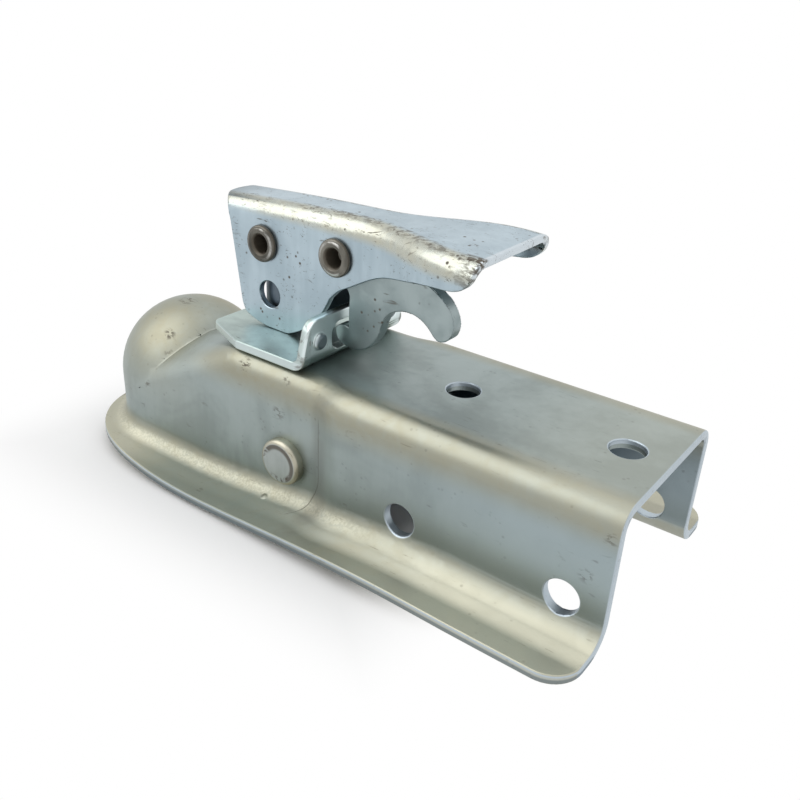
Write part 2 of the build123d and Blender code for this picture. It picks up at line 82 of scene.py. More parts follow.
class Tree:
    def __init__(self, nodeTree):
        self.tree = nodeTree
        self.tree.nodes.clear()

    def node(self, kind, settings=None, sockets=None, output=0):
        made = self.tree.nodes.new(kind)
        for key, value in (settings or {}).items():
            setattr(made, key, value)
        for key, value in (sockets or {}).items():
            if isinstance(value, Link):
                self.tree.links.new(value.socket, made.inputs[key])
            else:
                made.inputs[key].default_value = value
        return Link(self, made, made.outputs[output] if len(made.outputs) else None)


class Finish(Tree):
    def __init__(self, name, nodeTree=None):
        if nodeTree is None:
            self.material = bpy.data.materials.new(name)
            self.material.use_nodes = True
            nodeTree = self.material.node_tree
        super().__init__(nodeTree)

    def place(self):
        where = self.node("ShaderNodeTexCoord", output="Object")
        parts = self.node("ShaderNodeSeparateXYZ", None, {0: where})
        return where, parts, parts.out("Y"), parts.out("Z")

    def facing(self):  # how far a face looks up or down, 0 to 1
        normal = self.node("ShaderNodeTexCoord", output="Normal")
        return abs(self.node("ShaderNodeSeparateXYZ", None, {0: normal}, "Z"))

    def upright(self):  # 1 on a face that stands, 0 on one that lies flat
        return self.fall(self.facing(), 0.35, 0.6)

    def apart(self, first, second):  # distance from two offsets at right angles
        return (first * first + second * second) ** 0.5

    def stretch(self, where, scale):
        return self.node("ShaderNodeMapping", None, {"Vector": where, "Scale": scale})

    def noise(self, where, scale, detail=3.0, rough=0.55, warp=0.0):
        return self.node(
            "ShaderNodeTexNoise",
            {"noise_dimensions": "3D"},
            {"Vector": where, "Scale": scale, "Detail": detail, "Roughness": rough, "Distortion": warp},
        )

    def flecks(self, where):  # short streaks along the part
        return self.noise(self.stretch(where, plating["fleckGrain"]), 1.0, 3.0, 0.6, 0.6)

    def cells(self, where, scale):
        return self.node("ShaderNodeTexVoronoi", {"feature": "F1"}, {"Vector": where, "Scale": scale})

    def rise(self, value, low, high, before=0.0, after=1.0):  # 0 below low, 1 above high, smooth between
        return self.node(
            "ShaderNodeMapRange",
            {"interpolation_type": "SMOOTHSTEP"},
            {"Value": value, "From Min": low, "From Max": high, "To Min": before, "To Max": after},
        )

    def fall(self, value, low, high):  # 1 below low, 0 above high
        return self.rise(value, low, high, 1.0, 0.0)

    def grow(self, value, span):  # rise over a span in mm
        return self.rise(value, span[0] * mm, span[1] * mm)

    def fade(self, value, span):  # fall over a span in mm
        return self.fall(value, span[0] * mm, span[1] * mm)

    def atLeast(self, least, share):  # the share, squeezed between least and 1
        return least + (1 - least) * share

    def spot(self, where, centre, reach, core=0.15):  # full in the core, gone from reach outwards, in mm
        at = tuple(v * mm for v in centre)
        away = self.node("ShaderNodeVectorMath", {"operation": "DISTANCE"}, {0: where, 1: at}, "Value")
        return self.fall(away, core * reach * mm, reach * mm)

    def seenDirectly(self):  # 1 for the camera and for what shines or lets light through
        path = self.node("ShaderNodeLightPath")
        rays = ("Is Camera Ray", "Is Glossy Ray", "Is Transmission Ray")
        camera, gloss, through = (path.out(name) for name in rays)
        return self.capped(camera + gloss + through)

    def capped(self, value):
        return self.node("ShaderNodeClamp", None, {0: value})

    def blend(self, share, first, second):
        tint = [v if isinstance(v, Link) else (*v, 1) for v in (first, second)]
        return self.node("ShaderNodeMix", {"data_type": "RGBA"}, {0: share, 6: tint[0], 7: tint[1]}, 2)

    def bump(self, height, depth, strength=1.0, under=None):
        sockets = {"Height": height, "Distance": depth, "Strength": strength}
        if under:
            sockets["Normal"] = under
        return self.node("ShaderNodeBump", None, sockets)

    def surface(self, sockets):
        shader = self.node("ShaderNodeBsdfPrincipled", None, sockets)
        self.node("ShaderNodeOutputMaterial", None, {"Surface": shader})
        return self.material


def wear(piece, finish):  # the CAD piece takes this finish
    slots = cadNodes[piece].data.materials
    slots.clear()
    slots.append(finish)


# plated steel: what every bare metal piece shares
plating = {
    "bright": (0.31, 0.35, 0.36),
    "dull": (0.23, 0.26, 0.27),
    # cream is partly the zinc's yellow cast, partly a painted warm highlight; pale and edge are painted
    # highlight colours, inner a painted shade colour
    "cream": (0.33, 0.32, 0.24),
    "pale": (0.58, 0.60, 0.58),
    "edge": (0.55, 0.58, 0.56),
    "inner": (0.10, 0.135, 0.16),
    # the dark colour of real pits, scuffs and stains, also used for painted shade
    "grimeAndShade": (0.085, 0.07, 0.05),
    "cloudScale": 30.0,
    "blotchScale": 150.0,
    "toneSpan": (0.36, 0.64),  # noise values between which dull turns bright
    "creamShare": (0.55, 0.8),  # how much of the cream shows everywhere, and how much more in a blotch
    "grain": (330, 330, 45),
    "grainShare": 0.25,
    "smooth": 0.34,
    "rough": 0.50,
    "polish": 0.07,
    "grimeRough": 0.2,
    "grimeMatt": 0.7,
    "peelScale": 900.0,
    "peelDepth": 0.012 * mm,
    "pits": 0.35,
    "pitSize": 420.0,
    "pitSpan": (0.10, 0.26),
    "pitPlaceScale": 95.0,
    "pitPlaceSpan": (0.54, 0.64),
    "pitDepth": 0.12 * mm,
    "dentDepth": 0.5 * mm,
    "scuffs": 0.35,
    "scuffGrain": (110, 1500, 420),
    "scuffSpan": (0.64, 0.74),
    "scuffPlaceSpan": (0.48, 0.60),
    "fleckGrain": (420, 900, 900),
}


def platedSteel(name, look, zones=None):
    look = {**plating, **look}
    f = Finish(name)
    where, x, y, z = f.place()
    cloud = f.noise(where, look["cloudScale"], 4.0, 0.6, 0.4)
    blotch = f.noise(where, look["blotchScale"], 4.0, 0.6, 0.8)
    peel = f.noise(where, look["peelScale"])
    grain = f.noise(f.stretch(where, look["grain"]), 1.0, 3.0, 0.5, 0.3)
    pitDots = f.cells(where, look["pitSize"])
    pitPlaces = f.noise(where, look["pitPlaceScale"])
    scuffLines = f.noise(f.stretch(where, look["scuffGrain"]), 1.0, 2.0, 0.5, 0.8)
    tone = f.rise(cloud * (1 - look["grainShare"]) + grain * look["grainShare"], *look["toneSpan"])
    colour = f.blend(tone, look["dull"], look["bright"])
    marks = zones(f, where, x, y, z, cloud, blotch) if zones else {}
    if "cream" in marks:
        least, more = look["creamShare"]
        colour = f.blend(f.capped(marks["cream"] * (least + blotch * more)), colour, look["cream"])
    # the zones lay painted highlights and painted shade over the tone
    for zone in ("rearSheen", "shade", "pale", "edge", "inner"):
        if zone in marks:
            colour = f.blend(marks[zone], colour, look[zone])
    pits = f.fall(pitDots, *look["pitSpan"]) * f.rise(pitPlaces, *look["pitPlaceSpan"]) * look["pits"]
    scuffs = f.rise(scuffLines, *look["scuffSpan"]) * f.rise(blotch, *look["scuffPlaceSpan"]) * look["scuffs"]
    # pits and scuffs are real wear; a piece's own dark zone adds stains and painted shade
    grimeAndShade = pits + scuffs
    if "grimeAndShade" in marks:
        grimeAndShade = grimeAndShade + marks["grimeAndShade"]
    grimeAndShade = f.capped(grimeAndShade)
    colour = f.blend(grimeAndShade, colour, look["grimeAndShade"])
    roughness = look["smooth"] + (look["rough"] - look["smooth"]) * blotch + grimeAndShade * look["grimeRough"]
    if "polish" in marks:
        roughness = roughness - marks["polish"] * look["polish"]
    skin = f.bump(peel, look["peelDepth"], strength=0.5)
    skin = f.bump(1 - pits, look["pitDepth"], strength=0.6, under=skin)
    if "dents" in marks:
        skin = f.bump(marks["dents"], look["dentDepth"], strength=0.8, under=skin)
    if "sweep" in marks:
        skin = f.bump(marks["sweep"], look["sweepDepth"], under=skin)
    return f.surface({
        "Base Color": colour,
        "Metallic": 1 - grimeAndShade * look["grimeMatt"],
        "Roughness": roughness,
        "Normal": skin,
    })


# housing: satin zinc, cream where the sheet is bent (partly a painted warm highlight), stained by hand and
# dies
housing = {
    "bright": (0.365, 0.42, 0.415),
    "dull": (0.275, 0.32, 0.312),
    "cream": (0.345, 0.335, 0.255),
    # painted highlight colour for the rear walls
    "rearSheen": (0.37, 0.44, 0.465),
    "pale": (0.50, 0.49, 0.39),
    "edge": (0.50, 0.57, 0.62),
    "shade": (0.235, 0.27, 0.245),
    "grainShare": 0.14,
    "smooth": 0.38,
    "rough": 0.56,
    "peelDepth": 0.03 * mm,
    "pits": 0.20,
    "scuffs": 0.32,
    "sweepDepth": 3.4 * mm,
    "ridgeSpeckleScale": 1300.0,
    "ridgeSpeckleSpan": (0.38, 0.62),
    "fleckSpan": (0.50, 0.57),
    "seamSpan": (0.45, 0.6),
    # places on the sheet in mm
    "flangeFront": -18.5,
    "flangeClimb": 8.3,
    "wallHalf": 27,
    "wallWidening": 2.8,
    "creaseRadius": 27.5,
    "seamX": 86,
    "dieLineX": 85.6,
    "dieLineLean": 3.2,
    "dieLineHook": 4,
    "holes": (144.3, 26.1, -1.6, 5.15),  # middle and half distance along x, height in the walls, radius
    "pinCentre": (71.0, -1.3),
    "domeHighlightSpot": ((2.0, -15.0, 21.0), 24.0),
    "nib": ((65.4, -31.2, -15.6), 1.5),
    "shares": {  # how strongly each zone tells
        "bendCream": 0.9,
        "domeCream": 0.35,
        "flangeCream": 0.85,
        "lipEdge": 0.3,
        "lipInner": 0.65,
        "innerRear": 0.3,
        "litRear": 0.8,
        "litFront": 0.5,
        "paleLeast": 0.5,
        "roofPale": 0.25,
        "ridgePale": 0.5,
        "aboveFlange": 0.6,
        "olive": 0.5,
        "byPin": 0.8,
        "seamGrime": 0.25,
        "dieGrime": 0.3,
        "creaseShade": 0.25,
        "dieDent": 0.4,
        "sweepFront": 0.3,
    },
    "spans": {  # where a tint begins to change and where it has changed, in mm
        "climb": (22, 136),
        "widening": (80, 96),
        "bendOut": (18, 25),
        "bendUp": (14, 24),
        "bendBack": (10, 40),
        "domeBack": (6, 40),
        "domeUp": (-12, 14),
        "flangeUp": (3, 8),
        "lipOut": (3, 4),
        "lipUp": (1, 2),
        "lipTop": (-1.0, -0.5),
        "lipFoot": (-1.7, -1.1),
        "rearEnd": (182.5, 182.9),
        "litRear": (90, 150),
        "litFront": (0, 25),
        "roofUp": (28, 29),
        "roofBack": (120, 175),
        "paleOut": (0, 4),
        "ridgeOut": (0.3, 1.5),
        "ridgeEnd": (2.5, 5),
        "ridgeBack": (90, 120),
        "roundPin": (7.0, 10.5),
        "wallOut": (26, 27),
        "oliveOut": (3, 6),
        "oliveFront": (5, 30),
        "oliveBack": (80, 110),
        "sweepOut": (2, 13),
        "sweepBack": (60, 105),
        "innerOut": (26.85, 26.95),
        "innerUp": (26.45, 26.6),
        "innerFront": (97, 100),
        "innerBack": (150, 181),
        "underRoof": (27, 28),
        "rimInside": (-0.25, -0.05),
        "rimOutside": (0.2, 0.5),
        "shadeUp": (7, 18),
        "shadeBack": (40, 80),
        "creaseLine": (0.1, 0.4),
        "creaseBack": (6, 10),
        "creaseUp": (6, 14),
        "seamOut": (24, 28),
        "seamLine": (1, 5),
        "rearSheenBack": (90, 165),
        "rearSheenOut": (21, 27),
        "dieLean": (-13.5, -3),
        "dieHook": (1, 9),
        "dieLine": (0.1, 0.3),
        "dieStart": (-2, -1),
        "dieTop": (17, 20),
        "dieEnd": (7, 9),
    },
    "smudges": [  # centre and reach in mm, then strength
        ((-0.3, -2.3, 26.9), 4.5, 0.75),
        ((6.4, -16.9, 20.1), 3.0, 0.80),
        ((9.1, -20.6, 14.9), 1.8, 0.40),
        ((53.2, -25.8, 26.3), 3.4, 0.85),
        ((68.6, -27.0, 14.9), 3.4, 0.50),
        ((70.9, -25.9, 26.1), 2.6, 0.60),
        ((4.7, -26.9, 3.5), 2.2, 0.60),
        ((44.4, -39.9, -17.7), 1.8, 0.60),
        ((180.8, -29.8, 21.4), 2.6, 0.60),
        ((176.0, -29.8, 8.0), 3.0, 0.50),
    ],
}


def holeRims(f, x, y, z, side):  # a painted highlight ring round each bolt hole, in the walls and in the roof
    at = housing["spans"]
    middle, apart, height, radius = housing["holes"]
    fromHole, fromRow = abs(x - middle * mm) - apart * mm, z - height * mm
    inWall = f.apart(fromHole, fromRow) + f.fade(side, at["wallOut"])
    inRoof = f.apart(fromHole, y) + f.fade(z, at["underRoof"])
    nearest = x.maths("MINIMUM", inWall, inRoof)
    inside, outside = ([radius + v for v in at[key]] for key in ("rimInside", "rimOutside"))
    return f.grow(nearest, inside) * f.fade(nearest, outside)


def dieMark(f, x, z, offWall):  # the fine line that the die left across wall and flange
    at = housing["spans"]
    lean = f.fade(z, at["dieLean"]) * housing["dieLineLean"] * mm
    hook = f.grow(offWall, at["dieHook"]) * housing["dieLineHook"] * mm
    fromLine = x - housing["dieLineX"] * mm + lean + hook
    line = f.fade(abs(fromLine), at["dieLine"]) * f.grow(offWall, at["dieStart"]) * f.fade(z, at["dieTop"])
    return line * f.fade(offWall, at["dieEnd"])


def housingZones(f, where, x, y, z, cloud, blotch):
    at, share = housing["spans"], housing["shares"]
    side = abs(y)
    ahead = x.maths("MINIMUM", x, 0.0)
    overFlange = z - (housing["flangeFront"] * mm + housing["flangeClimb"] * mm * f.grow(x, at["climb"]))
    widening = housing["wallWidening"] * mm * f.grow(x, at["widening"])
    offWall = f.apart(ahead, y) - housing["wallHalf"] * mm - widening
    flange = f.fade(overFlange, at["flangeUp"])

    # cream tint on the bends, the dome and the flange's root: partly the zinc's yellow cast, partly a painted
    # warm highlight, strongest round one painted highlight spot on the dome
    bend = f.grow(side, at["bendOut"]) * f.grow(z, at["bendUp"]) * f.grow(x, at["bendBack"])
    domeTop = f.fade(x, at["domeBack"]) * f.grow(z, at["domeUp"])
    mirrored = f.node("ShaderNodeCombineXYZ", None, {0: x, 1: -1 * side, 2: z})
    domeHighlight = f.spot(mirrored, *housing["domeHighlightSpot"])
    dome = domeTop * f.atLeast(share["domeCream"], domeHighlight)
    cream = f.capped(bend * share["bendCream"] + dome + flange * share["flangeCream"])

    # painted highlight on the cut edges, the rear end and the hole rims; painted shade on the lower half of
    # the lip and on the inner side
    outside = f.grow(offWall, at["lipOut"]) * f.fade(overFlange, at["lipUp"])
    trimmed = outside * f.upright()
    edge = trimmed * f.atLeast(share["lipEdge"], f.grow(overFlange, at["lipTop"])) + f.grow(x, at["rearEnd"])
    edge = edge + holeRims(f, x, y, z, side)
    inner = f.fade(side, at["innerOut"]) * f.fade(z, at["innerUp"]) * f.grow(x, at["innerFront"])
    inner = inner * f.atLeast(share["innerRear"], f.fade(x, at["innerBack"]))
    inner = f.capped(inner + trimmed * f.fade(overFlange, at["lipFoot"]) * share["lipInner"])

    # painted highlight where the flange and the roof catch the light, speckled along the ridge
    lit = f.grow(x, at["litRear"]) * share["litRear"] + f.fade(x, at["litFront"]) * share["litFront"]
    roofRear = f.grow(z, at["roofUp"]) * f.grow(x, at["roofBack"]) * share["roofPale"]
    pale = flange * f.grow(offWall, at["paleOut"]) * lit * (share["paleLeast"] + cloud) + roofRear
    ridge = f.grow(offWall, at["ridgeOut"]) * f.fade(offWall, at["ridgeEnd"]) * f.fade(x, at["ridgeBack"])
    ridgeSpeckle = f.rise(f.noise(where, housing["ridgeSpeckleScale"], 2.0), *housing["ridgeSpeckleSpan"])
    pale = f.capped(pale + ridge * flange * ridgeSpeckle * share["ridgePale"])

    # painted shade above the flange and on the flange's middle, a painted shadow round the pin's head
    shade = f.fade(overFlange, at["shadeUp"]) * f.grow(x, at["shadeBack"]) * (1 - flange)
    olive = flange * f.grow(offWall, at["oliveOut"])
    olive = olive * f.grow(x, at["oliveFront"]) * f.fade(x, at["oliveBack"])
    pinX, pinZ = housing["pinCentre"]
    fromPin = f.apart(x - pinX * mm, z - pinZ * mm)
    byPin = f.fade(fromPin, at["roundPin"]) * f.grow(side, at["wallOut"])
    # painted highlight: the rear walls lighter and bluer, for the light they catch
    rearSheen = f.grow(x, at["rearSheenBack"]) * (1 - cream) * f.grow(side, at["rearSheenOut"])

    # grime on the seam and the smudges, a painted shade line in the crease
    fromBall = f.node("ShaderNodeVectorMath", {"operation": "LENGTH"}, {0: where}, "Value")
    crease = f.fade(abs(fromBall - housing["creaseRadius"] * mm), at["creaseLine"])
    crease = crease * f.grow(x, at["creaseBack"]) * f.grow(z, at["creaseUp"])
    seam = f.grow(side, at["seamOut"]) * f.fade(abs(x - housing["seamX"] * mm), at["seamLine"])
    grimeAndShade = seam * share["seamGrime"] * f.rise(cloud, *housing["seamSpan"])
    flecks = f.flecks(where)
    for centre, reach, strength in housing["smudges"]:
        grimeAndShade = grimeAndShade + f.spot(where, centre, reach) * f.rise(flecks, *housing["fleckSpan"]) * strength

    dieLine = dieMark(f, x, z, offWall)
    nib = f.spot(where, *housing["nib"])
    sweep = f.fade(offWall, at["sweepOut"]) * f.atLeast(share["sweepFront"], f.grow(x, at["sweepBack"]))
    return {
        "cream": cream,
        "rearSheen": rearSheen,
        "shade": f.capped(shade * share["aboveFlange"] + olive * share["olive"] + byPin * share["byPin"]),
        "pale": pale,
        "edge": f.capped(edge),
        "inner": inner,
        "polish": bend,
        "grimeAndShade": grimeAndShade + dieLine * share["dieGrime"] + crease * share["creaseShade"],
        "dents": nib - dieLine * share["dieDent"],
        "sweep": sweep,
    }


wear("housing", platedSteel("satinZincSheet", housing, housingZones))
print("housing finished")

# handle: bright bluish zinc with pits, a worn top bend with a cream tint that is partly a painted warm
# highlight, a painted highlight on the rear edge, painted shade inside the cheeks and a dark worn rear corner
handleLook = {
    "bright": (0.475, 0.575, 0.635),
    "dull": (0.37, 0.46, 0.515),
    "cream": (0.50, 0.485, 0.385),
    "pale": (0.64, 0.70, 0.74),
    "smooth": 0.26,
    "rough": 0.42,
    "pits": 1.0,
    "scuffs": 0.8,
    "nickGrain": (520, 1100, 1300),
    "frontHalf": 10,
    "flare": 10.5,
    "shares": {
        "bend": 0.8,
        "worn": 0.55,
        "border": 0.6,
        "nicks": 0.75,
        "rearEdge": 0.85,
        "inner": 0.8,
        "tail": 0.7,
    },
    "noiseSpans": {
        "wornFlecks": (0.54, 0.66),
        "wornClouds": (0.42, 0.58),
        "borderFlecks": (0.46, 0.58),
        "tailFlecks": (0.42, 0.56),
        "nicks": (0.615, 0.66),
        "nickPlaces": (0.47, 0.56),
    },
    "spans": {  # in mm
        "flareBack": (83, 126),
        "tailBack": (123, 130),
        "tailNear": (-17, -13),
        "bendUp": (68.5, 71.5),
        "bendOut": (-6, -3.5),
        "rearEdge": (129.2, 130.2),
        "borderUp": (73.5, 75.5),
        "borderIn": (-6.4, -5),
        "borderOut": (-3.4, -1.6),
        "innerOut": (-2.52, -2.42),
        "innerUp": (72, 74),
    },
}


def handleZones(f, where, x, y, z, cloud, blotch):
    at, share, rough = handleLook["spans"], handleLook["shares"], handleLook["noiseSpans"]
    halfWide = handleLook["frontHalf"] * mm + handleLook["flare"] * mm * f.grow(x, at["flareBack"])
    offCheek = abs(y) - halfWide  # below zero between the cheeks' outer faces
    flecks = f.flecks(where)
    tail = f.grow(x, at["tailBack"]) * f.fade(y, at["tailNear"])
    bend = f.grow(z, at["bendUp"]) * f.grow(offCheek, at["bendOut"])
    worn = bend * f.rise(flecks, *rough["wornFlecks"]) * f.rise(cloud, *rough["wornClouds"]) * share["worn"]
    border = f.grow(z, at["borderUp"]) * f.fade(offCheek, at["borderOut"])
    border = border * f.grow(offCheek, at["borderIn"])
    border = border * f.rise(flecks, *rough["borderFlecks"]) * share["border"]
    fine = f.noise(f.stretch(where, handleLook["nickGrain"]), 1.0, 3.0, 0.65, 1.2)
    nicks = f.rise(fine, *rough["nicks"]) * f.rise(blotch, *rough["nickPlaces"]) * share["nicks"]
    dirty = tail * share["tail"] * f.rise(flecks, *rough["tailFlecks"])
    return {
        # cream partly the zinc's yellow cast, partly a painted warm highlight on the top bend; pale a painted
        # highlight on the rear edge; inner painted shade on the inner cheek faces
        "cream": bend * share["bend"],
        "pale": f.grow(x, at["rearEdge"]) * share["rearEdge"],
        "inner": f.fade(offCheek, at["innerOut"]) * f.fade(z, at["innerUp"]) * share["inner"],
        "grimeAndShade": dirty + worn + border + nicks,
        "polish": bend,
    }


wear("handle", platedSteel("brightZincHandle", handleLook, handleZones))
print("handle finished")

# saddle plate: the same zinc, a little greener, with painted highlights on its sheared edges, bend and
# keeper, and painted shade on the round bump
plateLook = {
    "bright": (0.45, 0.54, 0.51),
    "dull": (0.33, 0.40, 0.385),
    "edge": (0.60, 0.68, 0.68),
    "pale": (0.84, 0.94, 0.95),
    "smooth": 0.28,
    "rough": 0.44,
    "pits": 0.5,
    "scuffs": 0.8,
    "bumpCentre": (17.4, 38.4),
    "shares": {"sheared": 0.8, "bent": 0.5, "keeper": 0.85, "bump": 0.85, "bentGrime": 0.6},
    "bentFlecks": (0.5, 0.6),
    "spans": {  # in mm
        "belowTop": (32.2, 32.6),
        "keeperUp": (33, 36),
        "keeperBack": (75, 76.6),
        "roundBump": (2.0, 3.0),
        "bumpBack": (76.4, 76.9),
        "bentBack": (72, 74),
        "bentOut": (21, 21.3),
    },
}


def plateZones(f, where, x, y, z, cloud, blotch):
    at, share = plateLook["spans"], plateLook["shares"]
    sheared = f.fade(z, at["belowTop"]) * f.upright()
    keeper = f.grow(z, at["keeperUp"]) * f.grow(x, at["keeperBack"])
    bumpY, bumpZ = plateLook["bumpCentre"]
    bump = f.fade(f.apart(abs(y) - bumpY * mm, z - bumpZ * mm), at["roundBump"]) * f.grow(x, at["bumpBack"])
    bent = f.grow(x, at["bentBack"]) * f.grow(abs(y), at["bentOut"])
    # painted highlight on the edges, the bend and the keeper, painted shade on the bump, real grime on the
    # bend
    return {
        "edge": f.capped(sheared * share["sheared"] + bent * share["bent"]),
        "pale": keeper * share["keeper"],
        "inner": bump * share["bump"],
        "grimeAndShade": bent * f.rise(blotch, *plateLook["bentFlecks"]) * share["bentGrime"],
    }


wear("saddle_plate", platedSteel("brightZincPlate", plateLook, plateZones))
print("saddle plate finished")

# trigger: greyer plating
triggerLook = {
    "bright": (0.36, 0.425, 0.43),
    "dull": (0.25, 0.305, 0.31),
    "grain": (160, 160, 160),
    "grainShare": 0.4,
    "smooth": 0.30,
    "rough": 0.44,
    "pits": 0.9,
    "scuffs": 0.8,
}
wear("trigger", platedSteel("greyZincTrigger", triggerLook))
print("trigger finished")

# cross pin: bright struck faces, worn dark where face and rim meet
pinLook = {
    "bright": (0.48, 0.52, 0.51),
    "dull": (0.34, 0.37, 0.36),
    "cream": (0.47, 0.45, 0.36),
    "smooth": 0.28,
    "rough": 0.42,
    "scuffs": 0.6,
    "centre": (71.0, -1.3),
    "lean": 14,  # how much more the upper rear of the face is worn, per metre
    "wornSpan": (0.44, 0.54),
    "wornShare": 0.85,
    "spans": {  # distance from the middle in mm
        "rim": (6.3, 7.0),
        "wornFrom": (4.4, 5.4),
        "wornTo": (6.2, 6.7),
    },
}


def pinZones(f, where, x, y, z, cloud, blotch):
    at = pinLook["spans"]
    pinX, pinZ = pinLook["centre"]
    across, up = x - pinX * mm, z - pinZ * mm
    fromMiddle = f.apart(across, up)
    worn = f.grow(fromMiddle, at["wornFrom"]) * f.fade(fromMiddle, at["wornTo"])
    uneven = f.rise(blotch + (up + across) * pinLook["lean"], *pinLook["wornSpan"])
    return {"cream": f.grow(fromMiddle, at["rim"]), "grimeAndShade": worn * uneven * pinLook["wornShare"]}


wear("clamp_pin", platedSteel("struckPinHead", pinLook, pinZones))
print("cross pin finished")

# rivets: brown rolled flanges, bright on the crown partly from wear and partly as a painted highlight,
# painted shade at the foot, in the bore's mouth and in the bore, and a painted lit patch on the bore's floor
rivetLook = {
    "bright": (0.245, 0.235, 0.205),
    "dull": (0.07, 0.068, 0.058),
    "pale": (0.52, 0.52, 0.50),
    "inner": (0.05, 0.05, 0.05),
    "smooth": 0.15,
    "rough": 0.34,
    "axes": {"handle_rivet": (46.8, 60.5), "trigger_rivet": (76.6, 62.7)},
    "shares": {"crown": 0.7, "floorOfBore": 0.45, "bore": 0.75, "grimeAndShade": 0.85},
    "wornSpan": (0.44, 0.58),
    "spans": {  # distance from the middle in mm, the last two along y and across the bore
        "crownFrom": (4.3, 4.7),
        "crownTo": (5.0, 5.4),
        "foot": (5.55, 5.85),
        "mouthFrom": (2.6, 2.9),
        "mouthTo": (3.3, 3.8),
        "bore": (2.5, 2.8),
        "floorOfBore": (1.8, 2.4),
        "front": (-2, 0),
        "floorLit": (-0.6, 1.6),
    },
}


def rivetZones(axis):
    def zones(f, where, x, y, z, cloud, blotch):
        at, share = rivetLook["spans"], rivetLook["shares"]
        across, up = x - axis[0] * mm, z - axis[1] * mm
        fromMiddle = f.apart(across, up)
        front = f.fade(y, at["front"])  # the far ends are plain heads
        crown = f.grow(fromMiddle, at["crownFrom"]) * f.fade(fromMiddle, at["crownTo"])
        foot = f.grow(fromMiddle, at["foot"])
        mouth = f.grow(fromMiddle, at["mouthFrom"]) * f.fade(fromMiddle, at["mouthTo"])
        floorOfBore = f.fade(fromMiddle, at["floorOfBore"]) * f.grow(across - up, at["floorLit"])
        bore = f.fade(fromMiddle, at["bore"]) * (1 - floorOfBore)
        crownWearAndHighlight = crown * f.rise(blotch, *rivetLook["wornSpan"])
        pale = f.capped(crownWearAndHighlight * share["crown"] + floorOfBore * share["floorOfBore"])
        # painted highlight on the crown and the bore's floor, painted shade in the bore, at the foot and in
        # the mouth
        return {
            "pale": pale * front,
            "inner": bore * front * share["bore"],
            "grimeAndShade": f.capped(foot + mouth * front) * share["grimeAndShade"],
        }

    return zones


for piece, axis in rivetLook["axes"].items():
    wear(piece, platedSteel(piece + "Finish", rivetLook, rivetZones(axis)))
print("rivets finished")

# bolt, spring and the rest
smallLooks = {
    "paleGoldZinc": {
        "on": ("clamp_washer", "lock_nut"),
        "bright": (0.40, 0.42, 0.39),
        "dull": (0.27, 0.29, 0.27),
        "scuffs": 0.6,
        "smooth": 0.30,
        "rough": 0.44,
    },
    "rivetSteel": {
        "on": ("trigger_spacer",),
        "bright": (0.30, 0.27, 0.22),
        "dull": (0.13, 0.11, 0.085),
        "smooth": 0.22,
        "rough": 0.38,
    },
    "dullForging": {
        "on": ("draw_bolt", "ball_clamp", "spring_seat", "spring_bush"),
        "bright": (0.20, 0.24, 0.28),
        "dull": (0.12, 0.15, 0.18),
        "smooth": 0.36,
        "rough": 0.5,
    },
    "springWire": {
        "on": ("clamp_spring",),
        "bright": (0.28, 0.29, 0.30),
        "dull": (0.17, 0.18, 0.19),
        "grain": (900, 900, 900),
    },
}
smallFinish = {name: platedSteel(name, look) for name, look in smallLooks.items()}
for name, look in smallLooks.items():
    for piece in look["on"]:
        wear(piece, smallFinish[name])

# nut insert: off-white nylon
nylonLook = {"dark": (0.80, 0.79, 0.74), "light": (0.88, 0.87, 0.82), "cloudScale": 400.0, "rough": 0.5}
nylon = Finish("nylonInsert")
clouds = nylon.noise(nylon.place()[0], nylonLook["cloudScale"])
wear("nut_insert", nylon.surface({
    "Base Color": nylon.blend(clouds, nylonLook["dark"], nylonLook["light"]),
    "Roughness": nylonLook["rough"],
}))
print("small pieces finished")

# trigger spring: one wire that runs straight, coils round the spacer and runs straight again
triggerSpring = {
    "Wire Radius": 0.6 * mm,
    "Coil Radius": 5.7 * mm,
    "Turns": 5.0,
    "Pitch": 1.35 * mm,
    "First Leg": 12.0 * mm,
    "Last Leg": 7.6 * mm,
    "Centre": (76.6 * mm, -2.0 * mm, 62.7 * mm),
    "Points": 320,
    "Round": 12,
}


